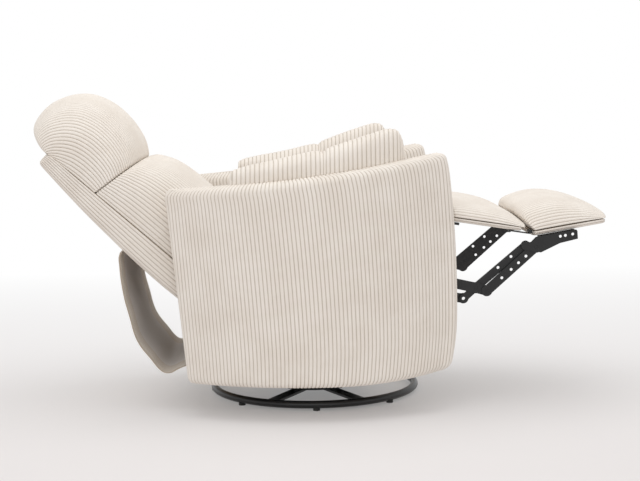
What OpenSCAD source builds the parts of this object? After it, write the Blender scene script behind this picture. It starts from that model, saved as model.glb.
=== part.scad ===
// Swivel recliner armchair, drawn fully reclined with its footrest out.
// +X points forward, the way the sitter faces, +Z is up, and the origin is
// on the floor under the middle of its length. Every piece is drawn about the
// swivel axis, and stand() sets it in place. Left and right are the sitter's.

/* [Ring base and swivel] */
// Outer diameter of the ring that stands on the floor
ring_d = 566; // [480:1:640]
// Diameter of the ring's tube
ring_tube_d = 20; // [16:1:28]
// Height of the glides under the ring
glide_h = 5; // [3:1:12]
// Width of the two crossed bars that carry the bearing
cross_bar_w = 32; // [26:1:50]
// Angle of the two crossed bars from straight ahead, in degrees
cross_bar_a = 63; // [40:1:70]
// Thickness of the two crossed bars
cross_bar_t = 6; // [4:1:8]
// Outer diameter of the swivel bearing plates
bearing_d = 220; // [190:1:280]
// Diameter of the balls in the swivel bearing
ball_d = 9; // [7:0.5:12]
// Thickness of each swivel bearing plate
bearing_plate_t = 3; // [2:0.5:5]

/* [Chassis and seat frame] */
// Height of the two channels that lift the rails over the bearing
riser_h = 36; // [30:1:50]
// Height of the steel rails over the swivel bearing
rail_h = 32; // [24:1:45]
// Width of each chassis rail
rail_w = 30; // [20:1:40]
// Length of the chassis rails, front to back
rail_l = 500; // [420:1:520]
// Wall of the bent steel rails and plates
plate_t = 3; // [2:0.5:4]
// Thickness of the wooden cross rails and seat frame boards
board_t = 24; // [18:1:30]
// Height of the wooden cross rails
cross_rail_h = 42; // [30:1:60]
// Height of the seat frame boards
seat_frame_h = 34; // [26:1:36]
// Diameter of the seat spring wire
spring_wire_d = 4; // [3:0.5:5]

/* [Arms] */
// Height of the arm's top at its back end
arm_back_h = 571; // [520:1:640]
// Height of the arm's top at its middle
arm_mid_h = 605; // [560:1:660]
// Height of the arm's top at its front end
arm_front_h = 653; // [600:1:720]
// Height of the arm's lower edge over the floor
arm_bottom_h = 92; // [80:1:110]
// Distance from the swivel to the arm's front edge
arm_front_x = 357; // [340:1:380]
// Distance from the swivel to the arm's back edge, at the foot
arm_back_x = 323; // [310:1:350]
// Half of the clear width between the arms
arm_inner_y = 270; // [268:1:300]
// Half of the width over the arms, at their widest
arm_outer_y = 430; // [400:1:460]
// Radius of the arm's barrel curve, seen from above
barrel_r = 590; // [540:1:700]
// Radius of the arm's padded top edge
arm_top_r = 22; // [12:1:30]
// Radius of the arm's tucked lower edge
arm_tuck_r = 55; // [30:1:65]

/* [Arm pads] */
// Rise of the pad over the arm at its front
pad_rise = 78; // [50:1:95]
// Back end of the arm pad
arm_pad_back_x = -214; // [-240:1:-180]
// Front end of the arm pad
arm_pad_front_x = 226; // [180:1:260]
// Depth of the cross crease in the arm pad
pad_crease = 9; // [4:1:16]

/* [Seat cushion] */
// Height of the seat's front roll over the floor
seat_front_h = 546; // [520:1:560]
// Depth of the seat, from its back edge to its front roll
seat_l = 417; // [400:1:420]
// Half of the width of the seat and back
cushion_y = 258; // [240:1:262]

/* [Back] */
// Lean of the back from upright when fully reclined, in degrees
back_lean = 48.6; // [44:0.1:52]
// Height of the back's hinge over the floor
back_pivot_h = 380; // [370:1:390]
// Distance from the swivel back to the back's hinge
back_pivot_x = 260; // [250:1:270]
// Length of the back panel from its foot to its top
back_l = 518; // [480:1:560]
// Thickness of the back panel at its foot
back_foot_t = 77; // [60:1:84]
// Thickness of the back panel at its top
back_top_t = 42; // [30:1:56]
// Height up the back, from its hinge, of the crease under the headrest
head_crease = 342; // [320:1:360]
// Reach of the headrest above the top of the back panel
head_rise = 90; // [60:1:110]

/* [Footrest] */
// Half of the width of the two footrest pads
footrest_y = 262; // [240:1:264]
// Length of the front footrest pad
front_pad_l = 212; // [180:1:230]
// Height of the crown of the front pad over its underside
front_pad_h = 96; // [70:1:100]
// Slope of the front pad when it is out, in degrees
front_pad_slope = 9.46; // [6:0.1:12]
// Length of the middle footrest pad
mid_pad_l = 203; // [180:1:206]
// Height of the middle pad at its back edge
mid_pad_h = 77; // [60:1:84]
// Fall of the middle pad when it is out, in degrees
mid_pad_slope = 8.9; // [7:0.1:11]
// Thickness of the padded boards under the footrest pads
footrest_board_t = 16; // [12:1:24]

/* [Linkage] */
// Width of the long carrier link
carrier_w = 25; // [22:1:30]
// Width of the control link beside it
control_w = 21; // [18:1:23]
// Width of the front rocker
front_rocker_w = 26; // [20:1:30]
// Width of the back rocker
back_rocker_w = 24; // [18:1:26]
// Diameter of the rivets that the links turn on
rivet_d = 9; // [7:0.5:11]
// Diameter of the drive tube that joins the two sides
drive_tube_d = 20; // [16:1:22]
// Diameter of the spare holes in the links
spare_hole_d = 7.5; // [5:0.5:8.5]

/* [Back drop cloth] */
// Thickness of the lined cloth behind the chair
cloth_t = 5; // [3:0.5:8]
// Half of the width of the cloth
cloth_y = 252; // [230:1:258]

/* [Hidden] */
gap = 0.4;              // running clearance between moving pieces
fit = 0.3;              // clearance of a piece on its seat
skin_gap = 0.6;         // clearance of one cushion beside another
swivel_x = -16.85;        // swivel axis, from the middle of the reclined length

// Heights through the swivel
ring_z = glide_h + ring_tube_d / 2;
bar_z = ring_z - cross_bar_t / 2;
race_z = bar_z + cross_bar_t + bearing_plate_t;
top_plate_z = race_z + ball_d + 2 * 0.15;
riser_z = top_plate_z + bearing_plate_t + 4;
rail_z = riser_z + riser_h;
side_plate_z = rail_z + rail_h;

// The linkage, as [x, z] pivots with the footrest out
drive_at = [248, 345];      // drive tube, on the side plate
rear_at = [220, 300];       // back rocker, on the side plate
cross_at = [412, 308];      // front rocker to control link
carrier_at = [440, 300];    // front rocker to carrier link
tail_at = [381, 280];       // control link's tail to back rocker
bracket_at = [566, 412];    // carrier link to footrest bracket
control_at = [540, 415];    // control link to footrest bracket
hinge_at = [552, 450];      // middle pad to front pad

// The link plates lie side by side, each in its own layer
plate_y = 246;
layer = plate_t + gap;
inner_layer = -1;
control_layer = 1;
rocker_layer = 2;
carrier_layer = 3;
bracket_layer = 4;

// ---- helpers ----

function centre(pts) = [for (p = pts) 1] * pts / len(pts);

// A closed skin over rings of points, all with the same count. The points of
// a ring run anticlockwise when the next ring is nearer to the eye. The ends
// close on a middle point or, if zipped, from side to side off the first point.
module skin(rings, zipped = false) {
    n = len(rings[0]);
    m = len(rings);
    walls = [for (j = [0:m - 2], i = [0:n - 1])
        let (a = j * n + i, b = j * n + (i + 1) % n)
        each [[a, a + n, b + n], [a, b + n, b]]];
    k = (m - 1) * n;
    fan = [for (i = [0:n - 1]) each [[m * n, i, (i + 1) % n], [m * n + 1, k + (i + 1) % n, k + i]]];
    zip = [for (i = [0:n / 2 - 1]) let (a = i + 1, b = n - 1 - i, c = (n - i) % n) each concat(
        a == b ? [] : [[i, a, b], [k + i, k + b, k + a]],
        i == 0 ? [] : [[i, b, c], [k + i, k + c, k + b]])];
    middles = [centre(rings[0]), centre(rings[m - 1])];
    polyhedron(concat([for (r = rings) each r], zipped ? [] : middles),
        concat(walls, zipped ? zip : fan), 10);
}

// A smooth closed curve through points chosen by hand
function spline(pts, steps) = let (n = len(pts)) [for (i = [0:n - 1], k = [0:steps - 1])
    let (t = k / steps, a = pts[(i + n - 1) % n], b = pts[i],
        c = pts[(i + 1) % n], d = pts[(i + 2) % n])
    b + t * (c - a) / 2 + t * t * (2 * a - 5 * b + 4 * c - d) / 2
        + t * t * t * (3 * b - a - 3 * c + d) / 2];

// A straight open run of points, without its last one
function run(a, b, steps) = [for (k = [0:steps - 1]) a + (b - a) * k / steps];

// Share of its full section that a cushion keeps at a share v of its half width
function fullness(v, p, least) = least + (1 - least) * pow(1 - pow(abs(v), p), 1 / p);

// A stuffed form across the chair: one side profile in [x, z], full at the
// middle and drawn in towards an anchor at both ends.
module stuffed(profile, half_w, anchor, least, p, stations) {
    n = len(profile);
    skin([for (v = stations) let (s = fullness(v, p, least))
        [for (i = [0:n - 1]) let (q = anchor + s * (profile[i] - anchor)) [q[0], -v * half_w, q[1]]]]);
}

// Stations across a cushion, closer together towards its ends
ends = [0.45, 0.7, 0.86, 0.95, 0.99, 1];
across = concat([for (i = [5:-1:0]) -ends[i]], [0], ends);

// Brings the swivel axis to its place behind the middle of the chair
module stand() translate([swivel_x, 0, 0]) children();

module right_side() mirror([0, 1, 0]) children();

// Draws a flat outline as an upright plate in one layer of the left side
module plate(at, t) {
    translate([0, plate_y + at * layer + t, 0])
    rotate([90, 0, 0])
    linear_extrude(t) children();
}

module bar(a, b, w) {
    d = b - a;
    n = [-d[1], d[0]] / norm(d) * w / 2;
    polygon([a + n, b + n, b - n, a - n]);
}

// A stamped link through a row of pivots, with a round eye at each
module link(pts, w) {
    for (p = pts) translate(p) circle(d = w + 3, $fn = 48);
    for (i = [0:len(pts) - 2]) bar(pts[i], pts[i + 1], w);
}

module holes(pts, d) for (p = pts) translate(p) circle(d = d, $fn = 32);

// A rivet or pin that runs out from one layer to another
module pin(p, from, to, d) {
    y = plate_y + from * layer;
    translate([p[0], y, p[1]])
    rotate([-90, 0, 0])
    cylinder(d = d, h = (to - from) * layer + plate_t, $fn = 32);
}

// ---- ring base and swivel ----

module base_ring() {
    color("#161616")
    translate([0, 0, ring_z])
    rotate_extrude($fn = 96)
    translate([(ring_d - ring_tube_d) / 2, 0]) circle(d = ring_tube_d, $fn = 32);
}

module cross_bars() {
    // their corners stop just inside the ring
    reach = sqrt(pow(ring_d / 2 - ring_tube_d - fit, 2) - pow(cross_bar_w / 2, 2));
    color("#1a1a1a")
    translate([0, 0, bar_z])
    difference() {
        union() {
            for (a = [cross_bar_a, -cross_bar_a]) rotate(a)
                translate([-reach, -cross_bar_w / 2, 0]) cube([2 * reach, cross_bar_w, cross_bar_t]);
            cylinder(r = bearing_d / 4, h = cross_bar_t, $fn = 64);
        }
        translate([0, 0, -1]) cylinder(d = 12 + 2 * fit, h = cross_bar_t + 2, $fn = 32);
    }
}

module floor_glides() {
    r = (ring_d - ring_tube_d) / 2;
    color("#0e0e0e")
    for (a = [0:45:315]) rotate(a) translate([r, 0, 0])
        difference() {
            cylinder(d = ring_tube_d - 2, h = bar_z - fit, $fn = 32);
            translate([0, 0, ring_z]) rotate([90, 0, 0])
                cylinder(d = ring_tube_d + 2 * fit, h = ring_tube_d + 10, center = true, $fn = 32);
        }
}

module race(z) {
    translate([0, 0, z])
    difference() {
        cylinder(d = bearing_d, h = bearing_plate_t, $fn = 96);
        translate([0, 0, -1]) cylinder(d = 12 + 2 * fit, h = bearing_plate_t + 2, $fn = 32);
    }
}

module lower_bearing_plate() {
    color("#2b2b2d") race(race_z - bearing_plate_t);
}

module bearing_balls() {
    r = bearing_d / 2 - ball_d;
    color("silver")
    for (a = [0:15:345]) rotate(a)
        translate([r, 0, race_z + ball_d / 2 + 0.15]) sphere(d = ball_d, $fn = 24);
}

module centre_bolt() {
    color("#8d8f92") {
        translate([0, 0, bar_z - 5]) cylinder(d = 22, h = 5, $fn = 6);
        translate([0, 0, bar_z - 1]) cylinder(d = 12, h = top_plate_z + bearing_plate_t + 2 - bar_z, $fn = 32);
    }
}

module upper_bearing_plate() {
    side = bearing_d + 20;
    color("#2b2b2d") {
        race(top_plate_z);
        translate([0, 0, top_plate_z + bearing_plate_t])
        difference() {
            translate([-side / 2, -side / 2, 0]) cube([side, side, 4]);
            translate([0, 0, -1]) cylinder(d = 40, h = 6, $fn = 48);
        }
        // two channels, welded on, that carry the cross members
        for (x = [-115, 85]) translate([x, -85, riser_z])
            difference() {
                cube([rail_w, 170, riser_h]);
                translate([plate_t, -1, -plate_t])
                    cube([rail_w - 2 * plate_t, 172, riser_h]);
            }
    }
}

// ---- chassis and seat frame ----

module chassis_rails() {
    y = plate_y - rail_w;
    color("#202022") {
        for (s = [-1, 1]) translate([-rail_l / 2 - 10, s > 0 ? y : -y - rail_w, rail_z])
            difference() {
                cube([rail_l, rail_w, rail_h]);
                translate([-1, plate_t, plate_t])
                    cube([rail_l + 2, rail_w - 2 * plate_t, rail_h]);
            }
        // two cross members, welded to the rails
        for (x = [-115, 85]) translate([x, -y - plate_t / 2, rail_z])
            difference() {
                cube([rail_w, 2 * y + plate_t, rail_h]);
                translate([plate_t, -1, plate_t]) cube([rail_w - 2 * plate_t, 2 * y + plate_t + 2, rail_h]);
            }
    }
}

module bearing_bolts() {
    color("#8d8f92")
    for (x = [-100, 100], y = [-70, 70]) translate([x, y, rail_z + plate_t])
        cylinder(d = 13, h = 6, $fn = 6);
}

// Wooden rails that tie the two arms together over the chassis
module cross_rail(x) {
    translate([x, -arm_inner_y + fit, side_plate_z + fit])
    cube([board_t, 2 * (arm_inner_y - fit), cross_rail_h]);
}

module front_cross_rail() {
    color("#c9a877") cross_rail(160);
}

module rear_cross_rail() {
    color("#c9a877") cross_rail(-arm_back_x - board_t + 46);
}

// Steel plate that the linkage and the back hang on
side_plate_foot = side_plate_z + fit + cross_rail_h + fit;

module side_plate_outline() {
    foot = side_plate_foot;
    difference() {
        union() {
            polygon([[-304, foot], [190, foot], [205, foot + 20], [215, 250], [262, 300],
                [276, 330], [272, 358], [250, 364], [205, 342], [-190, 342], [-228, 372],
                [-238, 396], [-282, 396], [-284, 300], [-304, 200]]);
            translate([-back_pivot_x, back_pivot_h]) circle(r = 24, $fn = 48);
        }
        translate([-back_pivot_x, back_pivot_h]) circle(d = rivet_d + 3 + 2 * fit, $fn = 32);
        translate(drive_at) circle(d = drive_tube_d + 2 * gap, $fn = 48);
        translate(rear_at) circle(d = rivet_d + 2 * fit, $fn = 32);
        for (x = [-150, -30, 90]) translate([x, 245]) {
            circle(d = 62, $fn = 48);
            translate([0, -31]) square([60, 62]);
            translate([60, 0]) circle(d = 61, $fn = 48);
        }
    }
}

module side_plate() {
    foot = side_plate_foot;
    plate(0, plate_t) side_plate_outline();
    // turned-in flange that sits on the cross rails
    translate([-304, plate_y - 30, foot]) cube([494, 30 + plate_t, plate_t]);
}

module side_plate_left() color("#1d1d1f") side_plate();
module side_plate_right() color("#1d1d1f") right_side() side_plate();

seat_frame_z = drive_at[1] + drive_tube_d / 2 + 9;
seat_frame_y = plate_y - fit;
seat_frame_x0 = -232;
seat_frame_x1 = 268;

module seat_frame() {
    l = seat_frame_x1 - seat_frame_x0;
    color("#c9a877")
    translate([seat_frame_x0, -seat_frame_y, seat_frame_z])
    difference() {
        cube([l, 2 * seat_frame_y, seat_frame_h]);
        translate([board_t, board_t, -1])
            cube([l - 2 * board_t, 2 * (seat_frame_y - board_t), seat_frame_h + 2]);
    }
}

// Zigzag springs, each one wire bent to and fro from back to front
module seat_springs() {
    w = spring_wire_d;
    z = seat_frame_z + seat_frame_h + 0.2;
    x0 = seat_frame_x0 + board_t / 2;
    steps = 16;
    pitch = (seat_frame_x1 - board_t / 2 - x0) / steps;
    reach = 24;
    color("#7d7f82")
    for (y = [-168, -84, 0, 84, 168]) translate([0, y, z])
        linear_extrude(w) union() {
            for (i = [0:steps - 1]) let (side = i % 2 == 0 ? 1 : -1) {
                translate([x0 + i * pitch - w / 2, side * reach - w / 2]) square([pitch + w, w]);
                translate([x0 + i * pitch - w / 2, -reach - w / 2]) square([w, 2 * reach + w]);
            }
        }
}

// ---- arms ----

// Height of the arm's top: a gentle curve through its back, middle and front
function arm_top(x) =
    let (b = -340, f = 300,
        sb = (arm_back_h - arm_mid_h) / b, sf = (arm_front_h - arm_mid_h) / f,
        c = (sf - sb) / (f - b))
    arm_mid_h + (sf - c * f) * x + c * x * x;
function arm_front(z) = arm_front_x - 0.00014 * pow(z - 240, 2);
function arm_back(z) = -arm_back_x - 0.0994 * (z - arm_bottom_h);
function barrel(x) = sqrt(barrel_r * barrel_r - pow(x + 5, 2)) - barrel_r + arm_outer_y;

// One level of the left arm, seen from above: inset from its outline, and by
// a share of that on its flat inner side
function arm_level(h, inset, inner_share) =
    let (z = arm_bottom_h + h * (arm_mid_h - arm_bottom_h), corner = 24,
        xf = arm_front(z) - inset, xb = arm_back(z) + inset,
        x0 = xb + corner, x1 = xf - corner, n = 12,
        side = function (x) let (t = barrel(x) - arm_inner_y, d = min(inset, 0.3 * t))
            [arm_inner_y + d * inner_share, barrel(x) - d],
        inner = [for (i = [0:n]) let (x = x0 + (x1 - x0) * i / n) [x, side(x)[0]]],
        outer = [for (i = [n:-1:0]) let (x = x0 + (x1 - x0) * i / n) [x, side(x)[1]]],
        front = [for (a = [-60:30:60]) let (s = side(x1), m = (s[0] + s[1]) / 2)
            [x1 + corner * cos(a), m + (s[1] - s[0]) / 2 * sign(a) * pow(abs(sin(a)), 0.7)]],
        back = [for (a = [120:30:240]) let (s = side(x0), m = (s[0] + s[1]) / 2)
            [x0 + corner * cos(a), m + (s[1] - s[0]) / 2 * sign(180 - a) * pow(abs(sin(a)), 0.7)]],
        tip = [for (i = [2:4]) back[i]],
        ring = concat(tip, inner, front, outer, [back[0], back[1]]))
    [for (p = ring) [p[0], p[1], arm_bottom_h + h * (arm_top(p[0]) - arm_bottom_h)]];

module arm() {
    full = arm_mid_h - arm_bottom_h;
    tuck = [for (a = [0:18:90]) [(arm_tuck_r * (1 - cos(a))) / full, arm_tuck_r * (1 - sin(a)), 0]];
    wall = [for (h = [0.3, 0.5, 0.7, 0.86]) [h, 0, 0]];
    top = [for (a = [0:22.5:90]) [1 - (arm_top_r * (1 - sin(a))) / full, arm_top_r * (1 - cos(a)), 1]];
    skin([for (l = concat(tuck, wall, top)) arm_level(l[0], l[1], l[2])], true);
}

module arm_left() color("#e9e1d5") arm();
module arm_right() color("#e9e1d5") right_side() arm();

// A padded armrest on top of the arm, with a sewn crease across its middle
module arm_pad() {
    n = 24;
    l = arm_pad_front_x - arm_pad_back_x;
    crease_u = 0.53;
    stations = [0, 0.03, 0.09, 0.18, 0.29, 0.41, 0.49, 0.53, 0.57, 0.65, 0.76, 0.86, 0.93, 0.975, 1];
    skin([for (u = stations) let (
        x = arm_pad_back_x + l * u,
        rise = pad_rise * (0.52 + 0.48 * u) * pow(1 - pow(abs(2 * u - 1), 7), 0.4)
            - pad_crease * exp(-pow((u - crease_u) / 0.035, 2)) + 5,
        inner = arm_inner_y + 3 + 6 * pow(abs(2 * u - 1), 6),
        outer = barrel(x) - 46 - 10 * pow(abs(2 * u - 1), 6),
        mid = (inner + outer) / 2, half = (outer - inner) / 2, foot = arm_top(x) + skin_gap)
        [for (i = [0:n - 1]) let (a = 360 * i / n + 90, c = cos(a), s = sin(a))
            [x, mid + half * sign(c) * pow(abs(c), 0.75),
                foot + (s > 0 ? rise * pow(s, 0.8) : 0)]]]);
}

module arm_pad_left() color("#e6ddd0") arm_pad();
module arm_pad_right() color("#e6ddd0") right_side() arm_pad();

module frame_bolts() {
    z = side_plate_foot + plate_t;
    color("#8d8f92")
    for (s = [-1, 1], x = [172, -arm_back_x - board_t + 58]) translate([x, s * (plate_y - 15), z + fit])
        cylinder(d = 12, h = 5, $fn = 6);
}

// ---- seat ----

seat_back_x = 283 - seat_l;

module seat_cushion() {
    z0 = seat_frame_z + seat_frame_h + spring_wire_d + 2.5;
    h = seat_front_h;
    profile = spline([[-228, z0 + 1], [0, z0], [258, z0 + 1], [281, z0 + 30], [282, h - 50],
        [266, h - 10], [205, h], [90, h - 12], [-30, h - 24], [seat_back_x + 32, h - 34],
        [seat_back_x + 4, h - 76], [seat_back_x - 30, z0 + 16], [-224, z0 + 10]], 3);
    color("#e9e1d5") stuffed(profile, cushion_y, [40, z0 + 40], 0.88, 5, across);
}

// ---- back ----

// Places a piece on the reclined back: z runs up the panel from the hinge
module on_back() {
    translate([-back_pivot_x, 0, back_pivot_h]) rotate([0, -back_lean, 0]) children();
}

back_front = -53;
back_foot = -15;

module back_panel() {
    top = back_foot + back_l;
    outline = concat(
        [[back_front, back_foot]],
        [[back_front - back_foot_t + 10, back_foot]],
        [for (t = [0.02, 0.12, 0.25, 0.4, 0.55, 0.7, 0.85, 0.97])
            [back_front - back_foot_t + (back_foot_t - back_top_t) * t * t * (0.7 + 0.3 * t),
                back_foot + back_l * t]],
        [[back_front - back_top_t + 8, top], [back_front - 16, top], [back_front, top - 18]]);
    color("#e9e1d5") on_back() difference() {
        translate([0, cushion_y + 4, 0]) rotate([90, 0, 0])
            linear_extrude(2 * cushion_y + 8) polygon(outline);
        // the foot is narrower, so that the hinge brackets lie flat beside it
        for (s = [-1, 1]) translate([-200, s > 0 ? plate_y + layer - fit : -plate_y - layer + fit - 20, -60])
            cube([200, 20, 122]);
    }
}

module back_bracket() {
    on_back() difference() {
        plate(1, plate_t) difference() {
            union() {
                circle(r = 20, $fn = 48);
                polygon([[-8, -18], [12, 14], [-52, 30], [-56, 54], [-118, 54], [-122, 8], [-90, -8]]);
            }
            circle(d = rivet_d + 3 - 1, $fn = 32);
            holes([[-75, 38], [-105, 38], [-105, 10]], spare_hole_d);
        }
    }
    on_back() translate([0, plate_y - 2, 0]) rotate([-90, 0, 0])
        cylinder(d = rivet_d + 3, h = layer + plate_t + 4, $fn = 32);
}

module back_bracket_left() color("#1d1d1f") back_bracket();
module back_bracket_right() color("#1d1d1f") right_side() back_bracket();

module lumbar_cushion() {
    f = back_front + skin_gap;
    c = head_crease;
    profile = concat(
        run([f, c + 4], [f, 40], 6),
        run([f, 40], [40, 34], 3),
        [[80, 36], [116, 46], [138, 68], [147, 100], [149, 140], [147, 180], [139, 235],
            [126, 270], [110, c - 46], [94, c - 36], [66, c - 26], [30, c - 12], [-6, c - 1]]);
    color("#e9e1d5") on_back() stuffed([for (p = profile) p], cushion_y, [f, 150], 0.8, 3.2, across);
}

module head_cushion() {
    f = back_front + skin_gap;
    c = head_crease + 2 * skin_gap;
    top = back_foot + back_l + skin_gap;
    profile = concat(
        [[f, c + 4], [-6, c], [30, c - 11], [66, c - 25], [96, c - 35], [112, c - 33]],
        [[127, c - 14], [141, c + 12], [152, c + 55], [154, c + 100], [143, c + 148],
            [119, c + 188], [82, top + head_rise - 30], [42, top + head_rise - 7],
            [0, top + head_rise - 1], [-34, top + head_rise - 12], [-55, top + head_rise - 38],
            [-61, top + head_rise - 66], [-58, top + 6], [f, top - 8]],
        run([f, top - 20], [f, c + 60], 3));
    color("#e9e1d5") on_back() stuffed(profile, cushion_y, [f + 12, c + 90], 0.7, 2.8, across);
}

// The slack cloth that closes the chair's back when it is upright
module rear_drop_cloth() {
    path = [[-493, 414], [-497, 398], [-496, 381], [-493, 342], [-485, 291], [-473, 244], [-462, 200],
        [-447, 169], [-423, 138], [-404, 113], [-388, 101], [-371, 101], [-356, 109],
        [-337, 117], [-319, 121], [-arm_back_x + 46 - board_t - fit, 122]];
    n = len(path);
    normal = [for (i = [0:n - 1]) let (d = path[min(i + 1, n - 1)] - path[max(i - 1, 0)])
        [d[1], -d[0]] / norm(d)];
    color("#e4dbce")
    translate([0, cloth_y, 0]) rotate([90, 0, 0]) linear_extrude(2 * cloth_y)
        polygon(concat([for (i = [0:n - 1]) path[i] + normal[i] * cloth_t / 2],
            [for (i = [n - 1:-1:0]) path[i] - normal[i] * cloth_t / 2]));
}

// ---- footrest linkage ----

module drive_tube() {
    reach = plate_y + layer - gap;
    end = plate_y + rocker_layer * layer + plate_t;
    color("#232325") translate([drive_at[0], 0, drive_at[1]]) rotate([90, 0, 0]) {
        cylinder(d = drive_tube_d, h = 2 * reach, center = true, $fn = 48);
        cylinder(d = 12, h = 2 * end, center = true, $fn = 32);
    }
}

module front_rocker() {
    plate(rocker_layer, plate_t) difference() {
        link([drive_at, cross_at, carrier_at], front_rocker_w);
        holes([drive_at], 12 + 0.2);
        holes([cross_at], rivet_d + 2 * fit);
    }
    pin(carrier_at, rocker_layer, carrier_layer, rivet_d);
}

module back_rocker() {
    plate(inner_layer, plate_t) difference() {
        link([rear_at, tail_at], back_rocker_w);
        holes([tail_at], rivet_d);
    }
    pin(rear_at, inner_layer, 0, rivet_d);
}

module carrier_link() {
    along = bracket_at - carrier_at;
    side = [-along[1], along[0]] / norm(along);
    plate(carrier_layer, plate_t) difference() {
        link([carrier_at, bracket_at], carrier_w);
        holes([carrier_at], rivet_d + 2 * fit);
        holes([for (t = [0.3, 0.49, 0.64, 0.79]) carrier_at + along * t - side * 1], spare_hole_d);
    }
    pin(bracket_at, carrier_layer, bracket_layer, rivet_d);
}

module control_link() {
    along = control_at - cross_at;
    side = [-along[1], along[0]] / norm(along);
    plate(control_layer, plate_t) difference() {
        union() {
            link([tail_at, cross_at], control_w - 2);
            link([cross_at, control_at], control_w);
        }
        holes([tail_at, control_at], rivet_d);
        holes([for (t = [0.46, 0.72]) cross_at + along * t + side * 2], spare_hole_d);
    }
    pin(cross_at, control_layer, rocker_layer, rivet_d);
}

module front_rocker_left() color("#1a1a1b") front_rocker();
module front_rocker_right() color("#1a1a1b") right_side() front_rocker();
module back_rocker_left() color("#1a1a1b") back_rocker();
module back_rocker_right() color("#1a1a1b") right_side() back_rocker();
module carrier_link_left() color("#1a1a1b") carrier_link();
module carrier_link_right() color("#1a1a1b") right_side() carrier_link();
module control_link_left() color("#1a1a1b") control_link();
module control_link_right() color("#1a1a1b") right_side() control_link();

// ---- footrest ----

pad_origin = [551, 435];

// Places a piece on the front pad: x along its underside, z out of its top
module on_front_pad() {
    translate([pad_origin[0], 0, pad_origin[1]]) rotate([0, -front_pad_slope, 0]) children();
}

function on_pad(p) = pad_origin + [p[0] * cos(front_pad_slope) - p[1] * sin(front_pad_slope),
    p[0] * sin(front_pad_slope) + p[1] * cos(front_pad_slope)];

module footrest_bracket() {
    top = -fit;
    plate(bracket_layer, plate_t) difference() {
        union() {
            polygon([on_pad([14, top]), on_pad([119, top]), on_pad([121, -4]), on_pad([119, -24]),
                on_pad([72, -27]), bracket_at + [12, -15], control_at + [2, -12],
                control_at + [-6, 9], bracket_at + [-14, 12]]);
            translate(control_at) circle(d = 24, $fn = 48);
            translate(bracket_at) circle(d = 31, $fn = 48);
        }
        holes([bracket_at], rivet_d + 2 * fit);
        holes([for (x = [76, 89, 108]) on_pad([x, -10])], spare_hole_d);
    }
    pin(control_at, control_layer + 1, bracket_layer, rivet_d);
    // turned-in flange screwed to the board
    on_front_pad() translate([22, plate_y - 12, -fit - plate_t])
        cube([95, 12 + bracket_layer * layer + plate_t, plate_t]);
}

module footrest_bracket_left() color("#1a1a1b") footrest_bracket();
module footrest_bracket_right() color("#1a1a1b") right_side() footrest_bracket();

module bracket_screws() {
    color("#8d8f92")
    for (s = [-1, 1], x = [40, 104]) on_front_pad()
        translate([x, s * (plate_y - 6), -fit - plate_t - 2.5]) cylinder(d = 9, h = 2.5, $fn = 24);
}

module board(l, half_w, t, r) {
    translate([0, half_w, 0]) rotate([90, 0, 0]) linear_extrude(2 * half_w)
    polygon(concat([[0, 0], [l - r, 0]], [for (a = [-60:30:60]) [l - r + r * cos(a), t / 2 + t / 2 * sin(a)]],
        [[l - r, t], [0, t]]));
}

module front_footrest_board() {
    color("#e9e1d5") on_front_pad()
        translate([8.3, 0, 0]) board(front_pad_l - 18.3, footrest_y - 2, footrest_board_t, 8);
}

module front_footrest_pad() {
    z = footrest_board_t + skin_gap;
    h = front_pad_h;
    l = front_pad_l;
    profile = [[13, z], [l * 0.3, z], [l * 0.6, z], [l - 16, z], [l - 4, z + 6], [l - 6, z + 16],
        [l - 20, 0.58 * h], [l * 0.82, 0.74 * h], [l * 0.68, 0.88 * h], [l * 0.5, 0.97 * h],
        [l * 0.3, h], [l * 0.1, 0.94 * h], [-8, 0.87 * h], [-17, 0.79 * h],
        [-12, 0.7 * h], [-2, 0.5 * h], [4, 0.34 * h]];
    color("#e9e1d5") on_front_pad() stuffed(profile, footrest_y, [l * 0.45, z + 4], 0.55, 3, across);
}

// Places a piece on the middle pad: x along its underside from its back edge
module on_mid_pad() {
    translate([hinge_at[0], 0, hinge_at[1]]) rotate([0, mid_pad_slope, 0])
        translate([-mid_pad_l - 1, 0, -4]) children();
}

module middle_footrest_board() {
    color("#e9e1d5") on_mid_pad() board(mid_pad_l - 16, footrest_y - 4, 14, 7);
}

module middle_footrest_pad() {
    z = 14 + skin_gap;
    h = mid_pad_h;
    l = mid_pad_l;
    profile = [[4, z], [l * 0.33, z], [l * 0.66, z], [l - 10, z], [l - 4, z + 3],
        [l - 14, 0.38 * h], [l - 28, 0.56 * h], [l - 46, 0.72 * h], [l * 0.62, 0.88 * h],
        [l * 0.38, 0.97 * h], [l * 0.16, h], [8, 0.94 * h], [-2, 0.8 * h], [-4, 0.5 * h], [0, z + 8]];
    color("#e9e1d5") on_mid_pad() stuffed(profile, footrest_y - 2, [l * 0.45, z + 2], 0.72, 4, across);
}

// Hinge leaves under the middle pad, and stops under its back edge
module pad_hinges() {
    color("#141414")
    for (s = [-1, 1]) translate([0, s * (footrest_y - 22), 0]) {
        difference() {
            union() {
                translate([hinge_at[0], -9, hinge_at[1]]) rotate([-90, 0, 0])
                    cylinder(d = 9, h = 18, $fn = 32);
                on_mid_pad() translate([150, -9, -fit - 2.4]) cube([mid_pad_l - 149, 18, 2.4]);
            }
            translate([hinge_at[0], -10, hinge_at[1]]) rotate([-90, 0, 0])
                cylinder(d = 4 + 2 * fit, h = 20, $fn = 32);
        }
        on_mid_pad() translate([10, -7, -6]) cube([12, 14, 6 - fit]);
    }
}

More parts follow.
